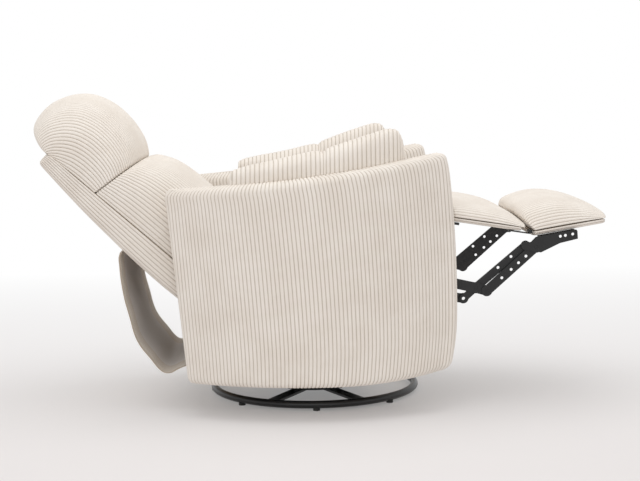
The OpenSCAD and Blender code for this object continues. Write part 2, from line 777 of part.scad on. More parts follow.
// Hinge pins, held by lugs on the back face of the front board
module hinge_pins() {
    color("#1b1b1c")
    for (s = [-1, 1]) translate([0, s * (footrest_y - 22), 0]) {
        translate([hinge_at[0], -12, hinge_at[1]]) rotate([-90, 0, 0]) cylinder(d = 4, h = 24, $fn = 32);
        on_front_pad() for (y = [-14, 9.4]) translate([0, y, 10]) cube([8, 4.6, 9]);
    }
}

stand() base_ring();
stand() cross_bars();
stand() floor_glides();
stand() lower_bearing_plate();
stand() bearing_balls();
stand() centre_bolt();
stand() upper_bearing_plate();
stand() chassis_rails();
stand() bearing_bolts();
stand() front_cross_rail();
stand() rear_cross_rail();
stand() side_plate_left();
stand() side_plate_right();
stand() seat_frame();
stand() seat_springs();
stand() seat_cushion();
stand() arm_left();
stand() arm_right();
stand() arm_pad_left();
stand() arm_pad_right();
stand() frame_bolts();
stand() back_panel();
stand() back_bracket_left();
stand() back_bracket_right();
stand() lumbar_cushion();
stand() head_cushion();
stand() rear_drop_cloth();
stand() drive_tube();
stand() front_rocker_left();
stand() front_rocker_right();
stand() back_rocker_left();
stand() back_rocker_right();
stand() carrier_link_left();
stand() carrier_link_right();
stand() control_link_left();
stand() control_link_right();
stand() footrest_bracket_left();
stand() footrest_bracket_right();
stand() bracket_screws();
stand() front_footrest_board();
stand() front_footrest_pad();
stand() hinge_pins();
stand() middle_footrest_board();
stand() middle_footrest_pad();
stand() pad_hinges();
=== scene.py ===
import math

import bmesh
import bpy
import numpy as np
from mathutils import Matrix, Vector


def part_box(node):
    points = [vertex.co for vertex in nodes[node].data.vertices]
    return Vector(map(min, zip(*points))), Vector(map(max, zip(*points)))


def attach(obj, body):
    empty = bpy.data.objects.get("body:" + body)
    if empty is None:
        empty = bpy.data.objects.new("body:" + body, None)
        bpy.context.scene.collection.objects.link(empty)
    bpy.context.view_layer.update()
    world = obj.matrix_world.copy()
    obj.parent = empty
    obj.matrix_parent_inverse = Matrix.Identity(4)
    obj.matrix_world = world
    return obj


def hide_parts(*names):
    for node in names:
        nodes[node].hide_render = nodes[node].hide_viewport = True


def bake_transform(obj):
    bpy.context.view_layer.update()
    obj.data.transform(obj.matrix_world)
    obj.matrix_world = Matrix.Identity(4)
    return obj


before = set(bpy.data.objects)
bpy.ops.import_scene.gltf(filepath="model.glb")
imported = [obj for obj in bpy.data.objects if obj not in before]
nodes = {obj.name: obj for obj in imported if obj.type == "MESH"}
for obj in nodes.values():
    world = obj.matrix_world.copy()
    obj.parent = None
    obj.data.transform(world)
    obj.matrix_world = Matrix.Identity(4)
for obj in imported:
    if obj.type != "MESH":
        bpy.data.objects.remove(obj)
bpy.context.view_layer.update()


# ---- Ring base ----
# A steel tube bent into a closed ring, with two flat bars welded across it.
# Gloss black powder coat gives a deep colour with a fine orange peel.

CLOUD_MM = 91.0   # reach of the slow drift in a black surface's shade


def colour(hex_code):
    """An sRGB hex colour as the linear RGBA that a shader takes."""
    parts = [int(hex_code[k:k + 2], 16) / 255 for k in (1, 3, 5)]
    return [c / 12.92 if c <= 0.04045 else ((c + 0.055) / 1.055) ** 2.4 for c in parts] + [1.0]


def add(owner, kind, takes=(), gives=(), stops=(), **settings):
    """Adds a node with its settings to a material or a world. takes are (socket, own
    input) pairs, gives are (own output, socket) pairs, and stops are a ramp's
    (place, hex colour) pairs."""
    tree = owner.node_tree
    node = tree.nodes.new(kind)
    for name, value in settings.items():
        if hasattr(node, name):
            setattr(node, name, value)
        else:
            node.inputs[name.replace("_", " ")].default_value = value
    for source, target in takes:
        tree.links.new(source, node.inputs[target])
    for source, target in gives:
        tree.links.new(node.outputs[source], target)
    for k, (place, hex_code) in enumerate(stops):
        elements = node.color_ramp.elements
        element = elements[k] if k < len(elements) else elements.new(place)
        element.position = place
        element.color = colour(hex_code)
    return node


def finish_of(name, **surface):
    """A new material and its surface shader, with constants on its sockets."""
    material = bpy.data.materials.new(name)
    material.use_nodes = True
    shader = material.node_tree.nodes["Principled BSDF"]
    for socket, value in surface.items():
        shader.inputs[socket.replace("_", " ")].default_value = value
    return material, shader


def black_skin(name, dark, light, roughness, grain_mm, depth_mm):
    """A black coat or moulding: two close shades, and the grain of its skin."""
    material, shader = finish_of(name, Roughness=roughness, Coat_Weight=0.1, Coat_Roughness=0.25)
    place = add(material, "ShaderNodeTexCoord").outputs["Object"]
    cloud = add(material, "ShaderNodeTexNoise", [(place, "Vector")], Scale=1000 / CLOUD_MM, Detail=4.0)
    add(material, "ShaderNodeValToRGB", [(cloud.outputs["Fac"], "Fac")],
        [("Color", shader.inputs["Base Color"])], [(0.35, dark), (0.7, light)])
    skin = add(material, "ShaderNodeTexNoise", [(place, "Vector")], Scale=1000 / grain_mm, Detail=3.0)
    add(material, "ShaderNodeBump", [(skin.outputs["Fac"], "Height")],
        [("Normal", shader.inputs["Normal"])], Distance=depth_mm / 1000, Strength=0.6)
    return material


def dress(material, slot_name, *names):
    """Gives CAD pieces that keep their own shape a material; slot_name is not used."""
    for name in names:
        nodes[name].data.materials.clear()
        nodes[name].data.materials.append(material)


base_paint = black_skin("powder coated steel, gloss black", "#08090a", "#121315", 0.3, 2.0, 0.05)
dress(base_paint, "black_base_steel", "base_ring", "cross_bars")


# ---- Floor glides ----
# Eight black polypropylene feet clipped under the ring, with a matte,
# lightly pebbled skin from the mould.

glide_plastic = black_skin("moulded polypropylene, matte black", "#101010", "#1a1a19", 0.62, 0.8, 0.06)
dress(glide_plastic, "glide_plastic", "floor_glides")


# ---- Swivel bearing ----
# Two pressed steel plates run on a ring of polished balls, about a zinc plated
# bolt. The plates are black coated, the balls are bright under their grease,
# and the zinc is pale grey with a fine mottle.

MOTTLE_MM = 3.85   # size of the mottle on plated or drawn steel

bearing_coat = black_skin("pressed steel, black coated", "#17181a", "#222325", 0.42, 1.6, 0.05)
dress(bearing_coat, "bearing_steel", "lower_bearing_plate", "upper_bearing_plate")

bright_steel, _ = finish_of("chrome steel, polished and greased", Metallic=1.0, Roughness=0.14,
                            Base_Color=colour("#b9bcc0"))
dress(bright_steel, "ball_steel", "bearing_balls")


def bare_metal(name, dark, light, roughness):
    """Plated or drawn steel, with the fine mottle of its making."""
    material, shader = finish_of(name, Metallic=1.0, Roughness=roughness)
    place = add(material, "ShaderNodeTexCoord").outputs["Object"]
    mottle = add(material, "ShaderNodeTexNoise", [(place, "Vector")], Scale=1000 / MOTTLE_MM, Detail=5.0)
    add(material, "ShaderNodeValToRGB", [(mottle.outputs["Fac"], "Fac")],
        [("Color", shader.inputs["Base Color"])], [(0.3, dark), (0.7, light)])
    add(material, "ShaderNodeBump", [(mottle.outputs["Fac"], "Height")],
        [("Normal", shader.inputs["Normal"])], Distance=0.04 / 1000, Strength=0.5)
    return material


zinc_plate = bare_metal("zinc plated steel, passivated", "#83868a", "#a3a6a8", 0.34)
dress(zinc_plate, "zinc_steel", "centre_bolt", "bearing_bolts", "frame_bolts", "bracket_screws")


# ---- Chassis, side plates and drive tube ----
# Bent and stamped sheet steel, welded and bolted into the frame that carries
# the seat, the back and the footrest. Satin black electrocoat gives it a soft,
# even gleam.

chassis_coat = black_skin("stamped steel, satin black electrocoat", "#121314", "#1c1d1e", 0.48, 1.2, 0.04)
dress(chassis_coat, "chassis_steel", "chassis_rails", "side_plate_left", "side_plate_right",
      "back_bracket_left", "back_bracket_right", "drive_tube")


# ---- Wooden rails and seat frame ----
# Planed beech rails tie the arms together and carry the springs. The wood
# stays bare, with straight grain along each board and darker late wood.

GRAIN_MM = (8.33, 66.7, 5.56)   # grain across, along and through the rails

beech, beech_shader = finish_of("beech, planed and bare", Roughness=0.62)
beech_place = add(beech, "ShaderNodeTexCoord").outputs["Object"]
boards = add(beech, "ShaderNodeMapping", [(beech_place, "Vector")], Scale=[1000 / g for g in GRAIN_MM])
grain = add(beech, "ShaderNodeTexNoise", [(boards.outputs["Vector"], "Vector")],
            Scale=1.0, Detail=6.0, Distortion=0.6)
add(beech, "ShaderNodeValToRGB", [(grain.outputs["Fac"], "Fac")],
    [("Color", beech_shader.inputs["Base Color"])],
    [(0.3, "#a87f4e"), (0.5, "#c7a272"), (0.72, "#dcc094")])
add(beech, "ShaderNodeBump", [(grain.outputs["Fac"], "Height")],
    [("Normal", beech_shader.inputs["Normal"])], Distance=0.2 / 1000, Strength=0.5)
dress(beech, "frame_wood", "front_cross_rail", "rear_cross_rail", "seat_frame")


# ---- Seat springs ----
# Zigzag wire springs clipped across the seat frame under the cushion. The
# wire is drawn carbon steel, dark and glossy under its oil.

spring_steel = bare_metal("carbon spring steel, drawn and oiled", "#3e4043", "#66686b", 0.4)
dress(spring_steel, "spring_wire", "seat_springs")


# ---- Seat cushion ----
# A foam cushion in a sewn cover of wide-wale cotton corduroy, crowned over the
# springs, with its wales running from back to front. The cut pile is soft and
# matte. Its colour is painted dark in each groove and light on each wale's crown:
# painted shade in the grooves and a painted highlight on the crowns.

WALE = 0.0103         # spacing of the corduroy's wales, in metres
WALE_DEPTH = 0.0021   # height of a wale over the groove beside it
WALE_SEAT = 0.75      # share of that height which lies inside the cover's line
GROOVE = 0.02         # share of a wale that counts as the groove on each side
ROUND_CUTS = 2        # cuts in each half wale of a cover, once it is rounded
FLAT_CUTS = 5         # cuts in each wale of a flat cloth
PILE_MM = 1.111       # clumps in the pile, drawn coarser than the real ones
DRIFT_MM = 71.4       # reach of the slow drift in the cloth's shade

swivel_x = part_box("base_ring")[0].x / 2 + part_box("base_ring")[1].x / 2

ivory_cord, cord_shader = finish_of("cotton corduroy, wide wale, ivory", Roughness=0.92,
                                    Sheen_Weight=0.35, Sheen_Roughness=0.45,
                                    Sheen_Tint=colour("#fff7ea"), Specular_IOR_Level=0.2)
cord_place = add(ivory_cord, "ShaderNodeTexCoord").outputs["Object"]
wale_height = add(ivory_cord, "ShaderNodeAttribute", attribute_name="wale", attribute_type="GEOMETRY")
pile = add(ivory_cord, "ShaderNodeTexNoise", [(cord_place, "Vector")], Scale=1000 / PILE_MM, Detail=3.0)
drift = add(ivory_cord, "ShaderNodeTexNoise", [(cord_place, "Vector")], Scale=1000 / DRIFT_MM, Detail=5.0)
# The wale's height sets the cloth's colour: painted shade in each groove, a painted highlight on each crown.
ivory_with_painted_wale_shade = add(ivory_cord, "ShaderNodeValToRGB", [(wale_height.outputs["Fac"], "Fac")],
           stops=[(0.0, "#b1a494"), (0.42, "#ded6cc"), (0.9, "#e9e2da")])
shade = add(ivory_cord, "ShaderNodeValToRGB", [(drift.outputs["Fac"], "Fac")],
            stops=[(0.35, "#f7f5f3"), (0.65, "#ffffff")])
add(ivory_cord, "ShaderNodeMix", [(ivory_with_painted_wale_shade.outputs["Color"], "A"), (shade.outputs["Color"], "B")],
    [("Result", cord_shader.inputs["Base Color"])], data_type="RGBA", blend_type="MULTIPLY", Factor=0.75)
add(ivory_cord, "ShaderNodeBump", [(pile.outputs["Fac"], "Height")],
    [("Normal", cord_shader.inputs["Normal"])], Distance=0.5 / 1000, Strength=0.5)


def from_mm(points):
    """Side view points, in millimetres from the swivel and the floor, in metres."""
    return np.array(points, float) / 1000 + np.array([swivel_x, 0])


def even(line, count):
    """The same line with count steps of equal length."""
    length = np.concatenate([[0], np.cumsum(np.linalg.norm(np.diff(line, axis=0), axis=1))])
    at = np.linspace(0, length[-1], count + 1)
    return np.stack([np.interp(at, length, line[:, k]) for k in range(line.shape[1])], 1)


def smooth_line(points, count, fineness=24):
    """An open curve through the points, resampled to count equal steps."""
    p = np.array(points, float)
    p = np.vstack([2 * p[0] - p[1], p, 2 * p[-1] - p[-2]])
    t = np.linspace(0, 1, fineness, endpoint=False)[:, None]
    fine = []
    for a, b, c, d in zip(p, p[1:], p[2:], p[3:]):
        fine.append(0.5 * (2 * b + (c - a) * t
                           + (2 * a - 5 * b + 4 * c - d) * t ** 2
                           + (3 * b - a - 3 * c + d) * t ** 3))
    return even(np.vstack(fine + [p[-2:-1]]), count)


def section(half, height, width_power, height_power, fineness=400):
    """A crowned half section, from one foot over the top to the other, in equal
    steps of a wale. Widths are shares of half, heights are shares of height."""
    a = np.linspace(0, math.pi, fineness)
    line = np.stack([-np.sign(np.cos(a)) * np.abs(np.cos(a)) ** (2 / width_power) * half,
                     np.sin(a) ** (2 / height_power) * height], 1)
    total = np.linalg.norm(np.diff(line, axis=0), axis=1).sum()
    line = even(line, 2 * round(total / WALE / 2))
    return line / np.array([half, height])


def sewn(name, points, ribs, close=True):
    """A mesh from rows of points. Its UV holds the place in wales and in rows,
    and only the first ribs columns carry wales."""
    rows, columns = points.shape[0] - 1, points.shape[1] - 1
    bm = bmesh.new()
    uv = bm.loops.layers.uv.new("cloth")
    bmesh.ops.create_grid(bm, x_segments=columns, y_segments=rows, size=0.5)
    for face in bm.faces:
        for loop in face.loops:
            loop[uv].uv = ((loop.vert.co.x + 0.5) * columns, (loop.vert.co.y + 0.5) * rows)
    for vert in bm.verts:
        vert.co = points[round((vert.co.y + 0.5) * rows), round((vert.co.x + 0.5) * columns)]
    bmesh.ops.remove_doubles(bm, verts=bm.verts, dist=1e-6)
    if close:
        bmesh.ops.holes_fill(bm, edges=bm.edges, sides=0)
    bmesh.ops.recalc_face_normals(bm, faces=bm.faces)
    mesh = bpy.data.meshes.new(name)
    bm.to_mesh(mesh)
    bm.free()
    piece = bpy.data.objects.new(name, mesh)
    piece["ribs"] = ribs
    bpy.context.scene.collection.objects.link(piece)
    return piece


def hold(piece, held):
    """Marks the vertices that seams hold while the cover is blown up."""
    piece.vertex_groups.new(name="sewn").add([int(k) for k in np.nonzero(held)[0]], 1.0, "REPLACE")


def from_line(points, start, end):
    """How far side view points lie from the line through start and end."""
    along, out = end - start, points - start
    return np.abs(along[0] * out[:, 1] - along[1] * out[:, 0]) / np.linalg.norm(along)


UNDER = (0.985, 0.6, 0, -0.6, -0.985)   # plain columns across the hidden underside
SEAM_SHARE = 0.16                       # share of a cover's height that its foot seam holds
SEAM_REACH = 0.004                      # reach of the seam round each end


def cover(name, top, foot, half, width_power=6.0, height_power=2.6):
    """The closed cover of a stuffed piece. top and foot are matching side view
    lines, and each pair of points carries one section across the piece."""
    height = np.linalg.norm(top - foot, axis=1)
    shape = section(half, height.max(), width_power, height_power)
    ring = np.vstack([shape, np.stack([UNDER, np.zeros(len(UNDER))], 1), shape[:1]])
    side = foot[:, None] + (top - foot)[:, None] * ring[None, :, 1:2]
    points = np.stack([side[..., 0], np.tile(half * ring[:, 0], (len(top), 1)), side[..., 1]], -1)
    piece = sewn(name, points, len(shape) - 1)
    place = np.array([v.co for v in piece.data.vertices])[:, [0, 2]]
    from_foot = np.linalg.norm(place[:, None] - foot[None], axis=2).min(axis=1)
    from_ends = np.minimum(from_line(place, foot[0], top[0]), from_line(place, foot[-1], top[-1]))
    hold(piece, (from_foot < SEAM_SHARE * height.max()) | (from_ends < SEAM_REACH))
    return piece


def apply_modifiers(piece):
    """Puts what the modifiers make into the mesh, and removes them."""
    bpy.context.view_layer.update()
    made = bpy.data.meshes.new_from_object(
        piece.evaluated_get(bpy.context.evaluated_depsgraph_get()))
    old, piece.data = piece.data, made
    piece.modifiers.clear()
    bpy.data.meshes.remove(old)


def plump(piece, reach, pressure=4.0, steps=20):
    """Blows the cover up as its stuffing does, by at most reach, then keeps it."""
    before = np.array([v.co for v in piece.data.vertices])
    cloth = piece.modifiers.new("stuffing", "CLOTH")
    cloth.settings.use_pressure = True
    cloth.settings.uniform_pressure_force = pressure
    cloth.settings.effector_weights.gravity = 0
    cloth.settings.tension_stiffness = 40
    cloth.settings.compression_stiffness = 40
    cloth.settings.bending_stiffness = 0.6
    cloth.settings.vertex_group_mass = "sewn"
    cloth.collision_settings.use_collision = False
    scene = bpy.context.scene
    for step in range(steps):
        scene.frame_set(step + 1)
    apply_modifiers(piece)
    scene.frame_set(1)
    move = np.array([v.co for v in piece.data.vertices]) - before
    size = np.linalg.norm(move, axis=1, keepdims=True)
    kept = before + move * np.minimum(1, reach / np.maximum(size, 1e-9))
    piece.data.vertices.foreach_set("co", kept.astype(np.float32).ravel())


def crosses_wale(edge, uv, ribs):
    """Whether an edge of the grid runs across a wale, and not along it."""
    if not edge.link_loops:
        return False
    loop = edge.link_loops[0]
    a, b = loop[uv].uv, loop.link_loop_next[uv].uv
    return abs(a.x - b.x) > 0.2 and abs(a.y - b.y) < 0.2 and min(a.x, b.x) < ribs - 0.1


def wale_rise(u, ribs):
    """How high the cloth stands u wales along, from 0 in a groove to 1 on a wale."""
    share = u % 1
    if u >= ribs or min(share, 1 - share) < GROOVE:
        return 0.0
    return math.sqrt(max(0.0, 1 - (2 * share - 1) ** 2))


def wale_cloth(piece, material, depth=WALE_DEPTH, smooth=True):
    """Rounds the wales out of a cover, and keeps their height as an attribute."""
    if smooth:
        rounding = piece.modifiers.new("rounding", "SUBSURF")
        rounding.levels = rounding.render_levels = 1
        rounding.boundary_smooth = "PRESERVE_CORNERS"
        apply_modifiers(piece)
    ribs = piece["ribs"]
    bm = bmesh.new()
    bm.from_mesh(piece.data)
    uv = bm.loops.layers.uv["cloth"]
    bmesh.ops.subdivide_edges(bm, edges=[e for e in bm.edges if crosses_wale(e, uv, ribs)],
                              cuts=ROUND_CUTS if smooth else FLAT_CUTS, use_grid_fill=True)
    bm.normal_update()
    height = bm.verts.layers.float.new("wale")
    moves = []
    for vert in bm.verts:
        if vert.link_loops:
            rise = wale_rise(vert.link_loops[0][uv].uv.x, ribs)
            vert[height] = rise
            moves.append((vert, vert.normal * depth * (rise - WALE_SEAT)))
    for vert, move in moves:
        vert.co += move
    bm.to_mesh(piece.data)
    bm.free()
    piece.data.materials.clear()
    piece.data.materials.append(material)
    piece.data.shade_smooth()
    return piece


SEAT_HALF = 0.256     # half the seat's width
SEAT_ROWS = 40        # rows of the cover's grid from back to front

seat_deck = [(-228, 404.6), (0, 404.6), (90, 404.6), (180, 404.6), (240, 405), (268, 408)]
seat_crown = [(-228, 414), (-190, 416), (-160, 424), (-138, 460), (-112, 506), (-60, 517),
              (0, 524), (90, 534), (180, 545), (250, 542), (281, 470)]
seat = cover("seat_cover", smooth_line(from_mm(seat_crown), SEAT_ROWS),
             smooth_line(from_mm(seat_deck), SEAT_ROWS), SEAT_HALF)
plump(seat, reach=0.010)
wale_cloth(seat, ivory_cord)
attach(seat, "chair")
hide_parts("seat_cushion")


# ---- Arms ----
# Each arm is a padded board with a barrel-curved outer side and a flat inner
# side. One piece of corduroy wraps it, and its wales run up both sides and over
# the rolled top edge.

ARM_HEIGHT, ARM_BOTTOM = 605.0, 88.0              # top and bottom edge, in millimetres
ARM_FRONT, ARM_REAR = 359.0, -323.0               # front edge at mid height, rear edge at the foot
ARM_INNER, ARM_OUTER = 270.0, 430.0               # inner side and barrel, from the chair's middle
BARREL_RADIUS, BARREL_MIDDLE = 590.0, -5.0        # its curve, and where it is widest
ARM_ENDS, ARM_ROLL, ARM_TUCK = 24.0, 22.0, 17.0   # rounding of the ends, the top and the bottom
ARM_CROWN = 3.0                                   # rise of the top between its two rolls
ARM_RIBS = 78                                     # wales on each side of an arm


def arm_top(x):
    """The top edge, which rises to the front."""
    return ARM_HEIGHT + 0.12863 * x + 0.0001048 * x * x


def arm_bottom(x):
    """The bottom edge, level for most of the arm and a little higher at the front."""
    return ARM_BOTTOM + 0.00032 * np.maximum(x - 60, 0) ** 2


def arm_front(z):
    """The front edge, fullest at mid height and drawn back below."""
    return ARM_FRONT - 0.00019 * (z - 240) ** 2 - 0.0013 * max(0, 190 - z) ** 2


def arm_rear(z):
    """The rear edge, which leans back a little."""
    return ARM_REAR - 0.0994 * (z - ARM_BOTTOM)


def barrel(x):
    """The outer side, seen from above as an arc that is widest at BARREL_MIDDLE."""
    return np.sqrt(BARREL_RADIUS ** 2 - (x - BARREL_MIDDLE) ** 2) - BARREL_RADIUS + ARM_OUTER


def arm_ring(share, drop, inset, inner_share, close_share):
    """One level of the left arm, as a ring of points in equal steps: the outer side
    from back to front, then the inner side back again. share is its height as a
    share of the arm's, and drop lowers it. inset draws the outer side and the ends
    in, and inner_share of it the inner side. close_share brings the sides together."""
    z = ARM_BOTTOM + share * (ARM_HEIGHT - ARM_BOTTOM)
    rear_round = 0.5 * ARM_ENDS
    run = np.linspace(arm_rear(z) + 0.5 * inset + rear_round, arm_front(z) - inset - ARM_ENDS, 60)
    thick = barrel(run) - ARM_INNER
    cut = np.minimum(inset, 0.3 * thick)
    cut = cut + close_share * (thick / 2 - cut)
    outer, inner = barrel(run) - cut, ARM_INNER + cut * inner_share
    middle, half = (outer + inner) / 2, (outer - inner) / 2
    turn = np.radians(np.linspace(0, 90, 9))[:-1]
    sides = []
    for sign in (1, -1):
        rear_bend = [(run[0] - rear_round * math.cos(a), middle[0] + sign * half[0] * math.sin(a) ** 0.7)
                     for a in turn]
        front_bend = [(run[-1] + ARM_ENDS * math.cos(a), middle[-1] + sign * half[-1] * math.sin(a) ** 0.7)
                      for a in turn[::-1]]
        edge = list(zip(run, middle + sign * half))
        sides.append(even(np.array(rear_bend + edge + front_bend), ARM_RIBS))
    ring = np.vstack([sides[0], sides[1][::-1][1:]])
    bottom = arm_bottom(ring[:, 0])
    height = bottom + share * (arm_top(ring[:, 0]) - bottom) - drop
    return np.column_stack([ring, height])


def arm_cover(name, side):
    """The cover of one arm, from its bottom edge up, over the roll and to the middle."""
    full = ARM_HEIGHT - ARM_BOTTOM
    tuck = [(ARM_TUCK * (1 - math.cos(a)) / full, 0, ARM_TUCK * (1 - math.sin(a)), 0, 0)
            for a in np.radians(np.linspace(0, 90, 7))]
    wall = [(share, 0, 0, 0, 0) for share in np.linspace(0.14, 0.93, 12)]
    roll = [(1, ARM_ROLL * (1 - math.sin(a)), ARM_ROLL * (1 - math.cos(a)), 1, 0)
            for a in np.radians(np.linspace(0, 90, 6))]
    flat = [(1, -ARM_CROWN * math.sin(s * math.pi / 2), ARM_ROLL, 1, s) for s in (0.25, 0.5, 0.75, 1)]
    points = np.array([arm_ring(*level) for level in tuck + wall + roll + flat]) / 1000
    points[..., 0] += swivel_x
    points[..., 1] *= side
    return wale_cloth(sewn(name, points, 2 * ARM_RIBS), ivory_cord)


for side_name, side in (("left", 1), ("right", -1)):
    arm = arm_cover("arm_cover_" + side_name, side)
    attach(arm, "chair")
    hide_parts("arm_" + side_name)


# ---- Arm pads ----
# A loose pad of fibre in a corduroy cover lies on each arm, with a seam sewn
# across its middle. Its wales run across the arm. The left pad has sunk more
# than the right one at its rear half.

PAD_LINE = [(-213, 613), (-196, 622), (-150, 634), (-100, 643), (-58, 653), (-10, 665), (18, 668),
            (24, 660), (30, 672), (81, 688), (120, 700), (154, 711), (190, 721), (212, 716),
            (224, 690), (226, 662)]
PAD_RIBS = 43                     # wales from the rear end to the front
PAD_AROUND = 26                   # points around the pad
PAD_LIFT = 0.8                    # from the arm's top to the pad's underside
PAD_INNER, PAD_OUTER = 3.0, 46.0  # from the arm's inner side and from its barrel
PAD_TAPER = (6.0, 10.0)           # how far its ends draw in from those two sides
PAD_SEAM = 3.0                    # height of the seam that holds its foot
SAG_AT, SAG_REACH = -60.0, 110.0  # where a sunken pad is lowest, and how far it sags


def arm_pad(name, side, sag):
    """The cover of one arm pad, with its foot held by the seam. Its cross section
    is a flattened oval, and it narrows a little at both ends."""
    line = np.array(PAD_LINE, float)
    rear, length = line[0, 0], line[-1, 0] - line[0, 0]
    line[:, 1] -= sag * np.exp(-((line[:, 0] - SAG_AT) / SAG_REACH) ** 2)
    line = even(line, PAD_RIBS)
    a = np.linspace(0, 2 * math.pi, PAD_AROUND + 1)
    points = np.zeros((PAD_AROUND + 1, PAD_RIBS + 1, 3))
    for k, (x, z) in enumerate(line):
        end = abs(2 * (x - rear) / length - 1) ** 6
        foot = arm_top(x) + PAD_LIFT
        inner = ARM_INNER + PAD_INNER + PAD_TAPER[0] * end
        outer = barrel(x) - PAD_OUTER - PAD_TAPER[1] * end
        middle, half = (inner + outer) / 2, (outer - inner) / 2
        y = middle + half * np.sign(np.cos(a)) * np.abs(np.cos(a)) ** 0.7
        rise = (z - foot) * np.where(np.sin(a) > 0, np.abs(np.sin(a)) ** 0.62, 0)
        points[:, k] = np.column_stack([np.full(PAD_AROUND + 1, x), y, foot + rise])
    points[-1] = points[0]
    points /= 1000
    points[..., 0] += swivel_x
    points[..., 1] *= side
    pad = sewn(name, points, PAD_RIBS)
    place = np.array([v.co for v in pad.data.vertices]) * 1000
    hold(pad, place[:, 2] - arm_top(place[:, 0] - swivel_x * 1000) < PAD_SEAM)
    return pad


for side_name, side, sag in (("left", 1, 11), ("right", -1, 0)):
    pad = arm_pad("arm_pad_cover_" + side_name, side, sag)
    plump(pad, reach=0.005, pressure=3.0)
    wale_cloth(pad, ivory_cord)
    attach(pad, "chair")
    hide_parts("arm_pad_" + side_name)


# ---- Back panel ----
# A plywood panel under thin foam, in one corduroy cover with its wales running
# up it. It carries the two cushions, and its brackets hang on the side plates.

BACK_HINGE = (-260, 380)          # from the swivel and the floor
BACK_LEAN = math.radians(48.6)
PANEL_HALF = 0.2615               # half the panel's width
PANEL_ROWS = 44                   # rows of the cover's grid from bottom to top


def tilted(points, origin, lean):
    """Side view points given along axes that lean back about an origin."""
    p = np.array(points, float)
    return from_mm(np.column_stack([
        origin[0] + p[:, 0] * math.cos(lean) - p[:, 1] * math.sin(lean),
        origin[1] + p[:, 0] * math.sin(lean) + p[:, 1] * math.cos(lean)]))


def on_back(points):
    """Points as (forward of the hinge, up the back) in millimetres."""
    return tilted(points, BACK_HINGE, BACK_LEAN)


panel_rear = [(-108, -36), (-126, -24), (-130, 30), (-130, 90), (-127, 170), (-121, 250),
              (-114, 330), (-105, 405), (-97, 462), (-92, 494), (-84, 503)]
panel_front = [(-96, -36), (-72, -24), (-56, -6), (-53.4, 30), (-53.4, 486), (-57, 496), (-64, 502.5)]
panel = cover("back_panel_cover", on_back(smooth_line(panel_rear, PANEL_ROWS)),
              on_back(even(np.array(panel_front), PANEL_ROWS)),
              PANEL_HALF, width_power=16, height_power=9)
wale_cloth(panel, ivory_cord)
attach(panel, "back")
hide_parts("back_panel")


# ---- Lumbar cushion ----
# The lower back cushion, full and round, sewn to the panel and tucked under
# the headrest at a deep crease. Its wales run up the back.

BACK_HALF = 0.256    # half width of both back cushions
BACK_SEAM = -56.5    # their feet, just inside the panel's front face
LUMBAR_ROWS = 34     # rows of the cover's grid from top to bottom

lumbar_top = [(74, 313), (94, 299), (105, 278), (117, 251), (124, 211), (126, 173), (126, 120),
              (119, 74), (102, 48), (78, 38)]
lumbar_foot = np.linspace((BACK_SEAM, 346), (BACK_SEAM, 42), LUMBAR_ROWS + 1)
lumbar = cover("lumbar_cover", on_back(smooth_line(lumbar_top, LUMBAR_ROWS)), on_back(lumbar_foot),
               BACK_HALF, width_power=2.6, height_power=3.0)
plump(lumbar, reach=0.006)
wale_cloth(lumbar, ivory_cord)
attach(lumbar, "back")
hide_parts("lumbar_cushion")


# ---- Headrest cushion ----
# A thick pillow of fibre in a corduroy cover, sewn to the panel, that rolls
# over the top of the back. Its wales run up the front and over the crown.

HEAD_ROWS = 44   # rows of the cover's grid, over the crown to the crease

head_top = [(-57, 514), (-60, 540), (-54, 568), (-38, 592), (15, 596), (53, 582), (82, 563),
            (108, 534), (122, 500), (129, 460), (126, 411), (116, 372), (104, 344), (88, 323), (74, 309)]
head_foot = np.linspace((BACK_SEAM, 496), (BACK_SEAM, 341), HEAD_ROWS + 1)
head = cover("headrest_cover", on_back(smooth_line(head_top, HEAD_ROWS)), on_back(head_foot),
             BACK_HALF, width_power=2.1, height_power=3.0)
plump(head, reach=0.006)
wale_cloth(head, ivory_cord)
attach(head, "back")
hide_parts("head_cushion")


# ---- Rear drop cloth ----
# A strip of corduroy lined with cotton, sewn to the back panel and held to the
# rear rail, that hangs slack while the chair is reclined. Each side is folded
# in, and between the folds the pale, matte twill of the lining shows.

DROP_HALF = 0.252       # half the clear width between the arms
DROP_FACING = 0.085     # corduroy folded in along each side
DROP_THICK = 0.003      # both layers together
DROP_DEPTH = 0.0012     # height of its wales, pressed flatter than a cushion's
DROP_ROWS = 60          # rows of its grid from the panel down to the rail
THREAD_MM = 1.43        # threads of the twill, drawn coarser than the real ones

drop_line = [(-493, 412), (-497, 398), (-496, 381), (-493, 342), (-485, 291), (-473, 244),
             (-462, 200), (-447, 169), (-423, 138), (-404, 113), (-388, 101), (-371, 101),
             (-356, 109), (-337, 117), (-319, 121), (-302, 122)]
drop_ribs = 2 * round(DROP_HALF / WALE)
drop_path = smooth_line(from_mm(drop_line), DROP_ROWS)
drop_points = np.zeros((DROP_ROWS + 1, drop_ribs + 1, 3))
drop_points[..., 0] = drop_path[:, :1]
drop_points[..., 1] = np.linspace(-DROP_HALF, DROP_HALF, drop_ribs + 1)
drop_points[..., 2] = drop_path[:, 1:]
drop = sewn("rear_drop_cloth_cover", drop_points, drop_ribs, close=False)
wale_cloth(drop, ivory_cord, DROP_DEPTH, smooth=False)

